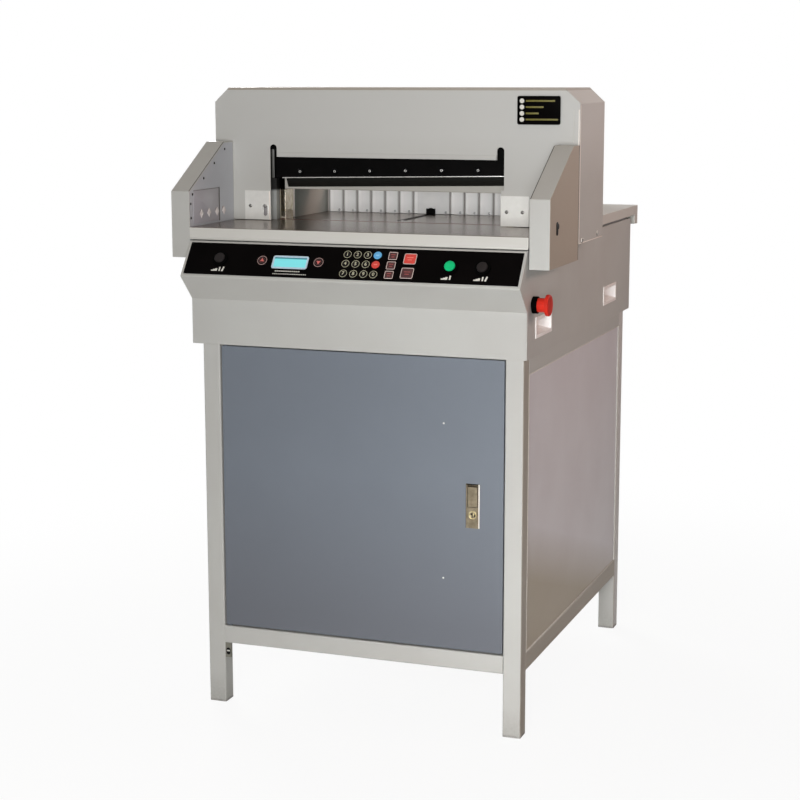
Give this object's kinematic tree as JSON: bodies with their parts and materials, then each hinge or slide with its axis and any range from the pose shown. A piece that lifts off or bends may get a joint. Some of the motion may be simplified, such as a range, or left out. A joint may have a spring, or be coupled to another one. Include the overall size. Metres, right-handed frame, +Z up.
{
  "type": "electric paper cutter",
  "caption": "Floor-standing electric paper guillotine: swing-cut knife, clamp and powered backgauge over a steel table, push-button panel, side guards and a lockable cabinet stand.",
  "frame": {"origin": "on the floor, midway between the control panel's nose and the rear table edge", "axes": "+X to the operator's right, +Y to the back, +Z up"},
  "size_m": [0.7428, 0.906, 1.197],
  "materials": {
    "body_paint": "satin powder coat, light warm grey",
    "door_paint": "satin powder coat, blue-grey",
    "table_steel": "ground",
    "machined_steel": "machined",
    "blade_steel": "ground and honed",
    "black_steel": "black oxide",
    "clamp_paint": "satin",
    "cast_iron": "painted casting",
    "gauge_alloy": "satin anodised",
    "grip_zinc": "satin plated",
    "lock_zinc": "satin plated",
    "overlay_film": "satin polyester film",
    "display": "backlit",
    "black_plastic": "moulded",
    "green_plastic": "moulded",
    "red_plastic": "moulded",
    "stick_plastic": "moulded",
    "clear_lens": "moulded",
    "motor_paint": "satin",
    "board": "solder mask",
    "belt_rubber": "moulded",
    "plug_rubber": "moulded",
    "zinc_steel": "zinc plated"
  },
  "bodies": {
    "root": {"stand_legs": "body_paint", "stand_rails": "body_paint", "leg_plugs": "plug_rubber", "stand_panels": "body_paint", "bottom_shelf": "body_paint", "bed_plate": "body_paint", "bed_frames": "cast_iron", "body_side_panels": "body_paint", "front_apron": "body_paint", "rear_body_panel": "body_paint", "side_grip_cups": "grip_zinc", "power_supply": "zinc_steel", "front_table": "table_steel", "rear_table": "body_paint", "cutting_stick": "stick_plastic", "side_guides": "clamp_paint", "control_overlay": "overlay_film", "lcd_module": "display", "control_board": "board", "button_collars": "black_plastic", "power_inlet": "black_plastic", "head_hood": "body_paint", "head_front_cover": "body_paint", "head_back_cover": "body_paint", "right_wing_guard": "body_paint", "left_wing_guard": "body_paint", "wing_inner_plates": "body_paint", "light_curtain_lenses": "clear_lens", "cheek_cover_plates": "zinc_steel", "cover_screws": "zinc_steel", "side_cheeks": "cast_iron", "cross_beam": "cast_iron", "clamp_guide_posts": "machined_steel", "knife_gearmotor": "motor_paint", "clamp_motor": "motor_paint", "clamp_belt": "belt_rubber", "gauge_rail": "machined_steel", "gauge_motor": "motor_paint"},
    "door": {"cabinet_door": "door_paint", "door_lock_case": "lock_zinc"},
    "lock_paddle": {"lock_paddle": "lock_zinc"},
    "lock_cylinder": {"lock_cylinder": "lock_zinc"},
    "knife_block": {"knife_block": "machined_steel"},
    "knife": {"knife_carrier": "black_steel", "knife_blade": "blade_steel", "knife_bolts": "zinc_steel"},
    "knife_nut": {"knife_nut": "machined_steel"},
    "knife_screw": {"knife_screw": "machined_steel"},
    "clamp": {"clamp_bar": "clamp_paint"},
    "left_clamp_screw": {"left_clamp_screw": "machined_steel"},
    "right_clamp_screw": {"right_clamp_screw": "machined_steel"},
    "clamp_motor_pulley": {"clamp_motor_pulley": "machined_steel"},
    "backgauge": {"backgauge": "gauge_alloy", "gauge_carriage": "black_steel"},
    "gauge_screw": {"gauge_screw": "machined_steel"},
    "cut_button_left": {"cut_button_left": "black_plastic"},
    "cut_button_right": {"cut_button_right": "black_plastic"},
    "clamp_button": {"clamp_button": "green_plastic"},
    "estop_button": {"estop_button": "red_plastic"},
    "main_switch_rocker": {"main_switch_rocker": "black_plastic"}
  },
  "joints": [
    {"name": "door_swing", "type": "hinge", "parent": "root", "child": "door", "pos_m": [-0.276, -0.377, 0.438], "axis": [0, 0, -1], "range_deg": [0, 100]},
    {"name": "lock_paddle_swing", "type": "hinge", "parent": "door", "child": "lock_paddle", "pos_m": [0.224, -0.381, 0.4725], "axis": [-1, 0, 0], "range_deg": [0, 25], "stiffness_Nm_per_rad": 0.05},
    {"name": "lock_cylinder_turn", "type": "hinge", "parent": "door", "child": "lock_cylinder", "pos_m": [0.224, -0.383, 0.421], "axis": [0, -1, 0], "range_deg": [0, 90]},
    {"name": "knife_slide", "type": "slide", "parent": "root", "child": "knife_block", "axis": [-0.3043, 0, -0.9526], "range_m": [0, 0.06572]},
    {"name": "knife_level", "type": "hinge", "parent": "knife_block", "child": "knife", "pos_m": [-0.287, -0.178, 1.0519], "axis": [0, 1, 0], "range_deg": [0, 1.3]},
    {"name": "knife_nut_lift", "type": "slide", "parent": "root", "child": "knife_nut", "axis": [0, 0, -1], "range_m": [0, 0.07558]},
    {"name": "knife_screw_turn", "type": "hinge", "parent": "root", "child": "knife_screw", "pos_m": [0.275, -0.133, 1.15], "axis": [0, 0, 1], "range_deg": [0, 1361.39]},
    {"name": "clamp_slide", "type": "slide", "parent": "root", "child": "clamp", "axis": [0, 0, -1], "range_m": [0, 0.058]},
    {"name": "left_clamp_screw_turn", "type": "hinge", "parent": "root", "child": "left_clamp_screw", "pos_m": [-0.187, -0.147, 1.15], "axis": [0, 0, 1], "range_deg": [0, 2089]},
    {"name": "right_clamp_screw_turn", "type": "hinge", "parent": "root", "child": "right_clamp_screw", "pos_m": [0.173, -0.147, 1.15], "axis": [0, 0, 1], "range_deg": [0, 2089]},
    {"name": "clamp_motor_turn", "type": "hinge", "parent": "root", "child": "clamp_motor_pulley", "pos_m": [-0.007, -0.063, 1.15], "axis": [0, 0, 1], "range_deg": [0, 3133]},
    {"name": "gauge_slide", "type": "slide", "parent": "root", "child": "backgauge", "axis": [0, -1, 0], "range_m": [-0.248, 0.164]},
    {"name": "gauge_screw_turn", "type": "hinge", "parent": "root", "child": "gauge_screw", "pos_m": [-0.007, 0.045, 0.905], "axis": [0, 1, 0], "range_deg": [-8929, 5905]},
    {"name": "cut_button_left_press", "type": "slide", "parent": "root", "child": "cut_button_left", "axis": [0, 0.8098, -0.5867], "range_m": [0, 0.004], "stiffness_N_per_m": 800},
    {"name": "cut_button_right_press", "type": "slide", "parent": "root", "child": "cut_button_right", "axis": [0, 0.8098, -0.5867], "range_m": [0, 0.004], "stiffness_N_per_m": 800},
    {"name": "clamp_button_press", "type": "slide", "parent": "root", "child": "clamp_button", "axis": [0, 0.8098, -0.5867], "range_m": [0, 0.004], "stiffness_N_per_m": 800},
    {"name": "estop_press", "type": "slide", "parent": "root", "child": "estop_button", "axis": [-1, 0, 0], "range_m": [0, 0.0045], "stiffness_N_per_m": 2000},
    {"name": "main_switch_rock", "type": "hinge", "parent": "root", "child": "main_switch_rocker", "pos_m": [-0.212, 0.389, 0.775], "axis": [1, 0, 0], "range_deg": [0, 20]}
  ],
  "couplings": [
    {"joint": "knife_level", "follows": "knife_slide", "rad_per_m": 0.34525},
    {"joint": "knife_nut_lift", "follows": "knife_slide", "ratio": 1.15},
    {"joint": "knife_screw_turn", "follows": "knife_slide", "rad_per_m": 361.29},
    {"joint": "left_clamp_screw_turn", "follows": "clamp_slide", "rad_per_m": 628.32},
    {"joint": "right_clamp_screw_turn", "follows": "clamp_slide", "rad_per_m": 628.32},
    {"joint": "clamp_motor_turn", "follows": "clamp_slide", "rad_per_m": 942.48},
    {"joint": "gauge_screw_turn", "follows": "gauge_slide", "rad_per_m": 628.32}
  ]
}
